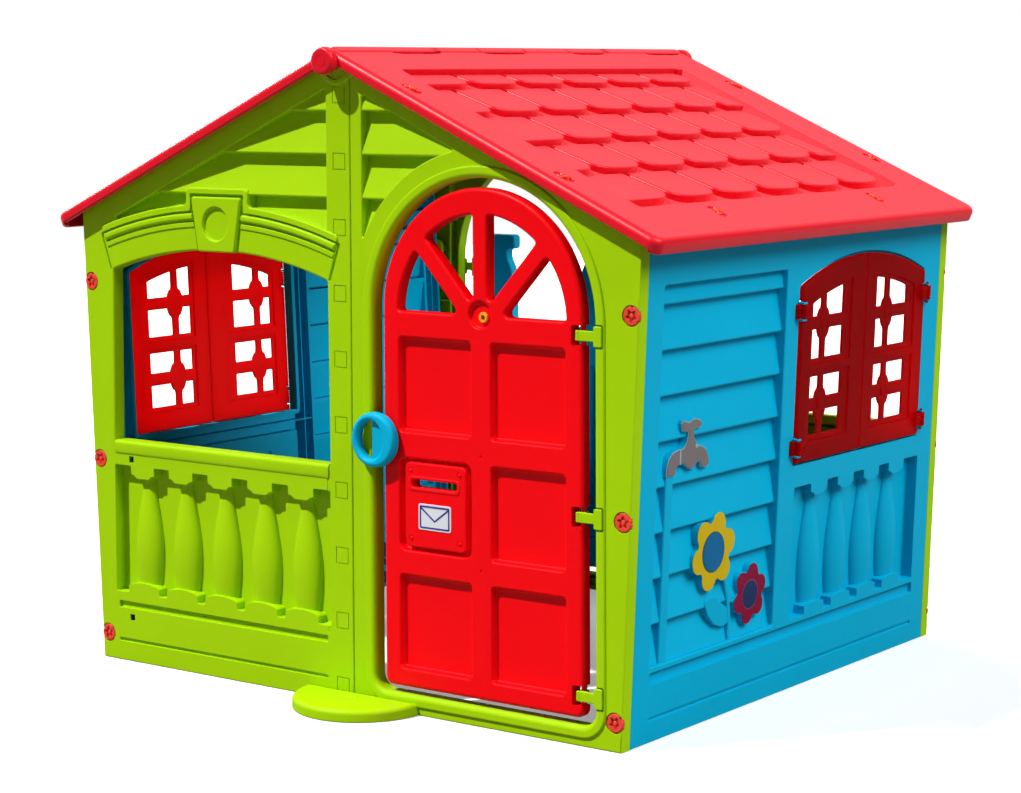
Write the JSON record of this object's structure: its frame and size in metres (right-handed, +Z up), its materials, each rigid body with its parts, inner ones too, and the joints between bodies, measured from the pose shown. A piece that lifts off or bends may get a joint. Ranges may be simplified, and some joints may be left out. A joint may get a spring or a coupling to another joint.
{
  "type": "plastic playhouse",
  "caption": "Child's plastic garden playhouse with a pitched roof, an arched front door, a low back gate, an open front window and shuttered side windows.",
  "frame": {"origin": "on the ground, at the centre of the house's plan", "axes": "+Z up, -Y out of the front wall (door and open window), +X towards the hinge side of the front door"},
  "size_m": [1.368, 1.325, 1.1498],
  "materials": {
    "lime": "satin moulded polyethylene",
    "sky": "satin moulded polyethylene",
    "red": "satin moulded polyethylene",
    "roof_red": "satin moulded polyethylene",
    "dark_red": "satin moulded polyethylene",
    "amber": "satin moulded polyethylene",
    "sticker": "printed film"
  },
  "bodies": {
    "house": {"back_door_corner_bolt_1": "red", "back_door_corner_bolt_2": "red", "back_door_corner_bolt_3": "red", "back_door_panel": "lime", "back_hinge_clip_1": "lime", "back_hinge_clip_2": "lime", "back_hinge_clip_3": "lime", "back_ridge_knob": "roof_red", "back_seam_foot": "lime", "back_window_corner_bolt_1": "red", "back_window_corner_bolt_2": "red", "back_window_corner_bolt_3": "red", "back_window_panel": "lime", "front_door_corner_bolt_1": "red", "front_door_corner_bolt_2": "red", "front_door_corner_bolt_3": "red", "front_door_panel": "lime", "front_hinge_clip_1": "lime", "front_hinge_clip_2": "lime", "front_hinge_clip_3": "lime", "front_ridge_knob": "roof_red", "front_seam_foot": "lime", "front_window_corner_bolt_1": "red", "front_window_corner_bolt_2": "red", "front_window_corner_bolt_3": "red", "front_window_panel": "lime", "left_roof_bolt_1": "roof_red", "left_roof_bolt_2": "roof_red", "left_roof_bolt_3": "roof_red", "left_roof_bolt_4": "roof_red", "left_roof_bolt_5": "roof_red", "left_roof_bolt_6": "roof_red", "left_roof_slope": "roof_red", "left_shutter_pin_a": "sky", "left_shutter_pin_b": "sky", "left_side_wall": "sky", "ridge_beam": "roof_red", "right_roof_bolt_1": "roof_red", "right_roof_bolt_2": "roof_red", "right_roof_bolt_3": "roof_red", "right_roof_bolt_4": "roof_red", "right_roof_bolt_5": "roof_red", "right_roof_bolt_6": "roof_red", "right_roof_slope": "roof_red", "right_shutter_pin_a": "sky", "right_shutter_pin_b": "sky", "right_side_wall": "sky"},
    "front_door": {"door_handle": "sky", "front_door": "red", "mail_badge": "sticker", "mail_plate": "red", "peephole_ring": "amber"},
    "back_gate": {"back_gate": "sky"},
    "right_shutter_a": {"right_shutter_a": "dark_red"},
    "right_shutter_b": {"right_shutter_b": "dark_red"},
    "left_shutter_a": {"left_shutter_a": "dark_red"},
    "left_shutter_b": {"left_shutter_b": "dark_red"}
  },
  "joints": [
    {"name": "front_door_hinge", "type": "hinge", "parent": "house", "child": "front_door", "pos_m": [0.515, -0.5295, 0.38], "axis": [0, 0, 1], "range_deg": [0, 90]},
    {"name": "back_gate_hinge", "type": "hinge", "parent": "house", "child": "back_gate", "pos_m": [-0.515, 0.5295, 0.38], "axis": [0, 0, 1], "range_deg": [0, 100]},
    {"name": "right_shutter_a_hinge", "type": "hinge", "parent": "house", "child": "right_shutter_a", "pos_m": [0.62806, -0.021, 0.5609], "axis": [-0.0499, 0, -0.9988], "range_deg": [0, 150]},
    {"name": "right_shutter_b_hinge", "type": "hinge", "parent": "house", "child": "right_shutter_b", "pos_m": [0.62806, 0.448, 0.5609], "axis": [0.0499, 0, 0.9988], "range_deg": [0, 150]},
    {"name": "left_shutter_a_hinge", "type": "hinge", "parent": "house", "child": "left_shutter_a", "pos_m": [-0.62806, 0.021, 0.5609], "axis": [0.0499, 0, -0.9988], "range_deg": [0, 150]},
    {"name": "left_shutter_b_hinge", "type": "hinge", "parent": "house", "child": "left_shutter_b", "pos_m": [-0.62806, -0.448, 0.5609], "axis": [-0.0499, 0, 0.9988], "range_deg": [0, 150]}
  ]
}
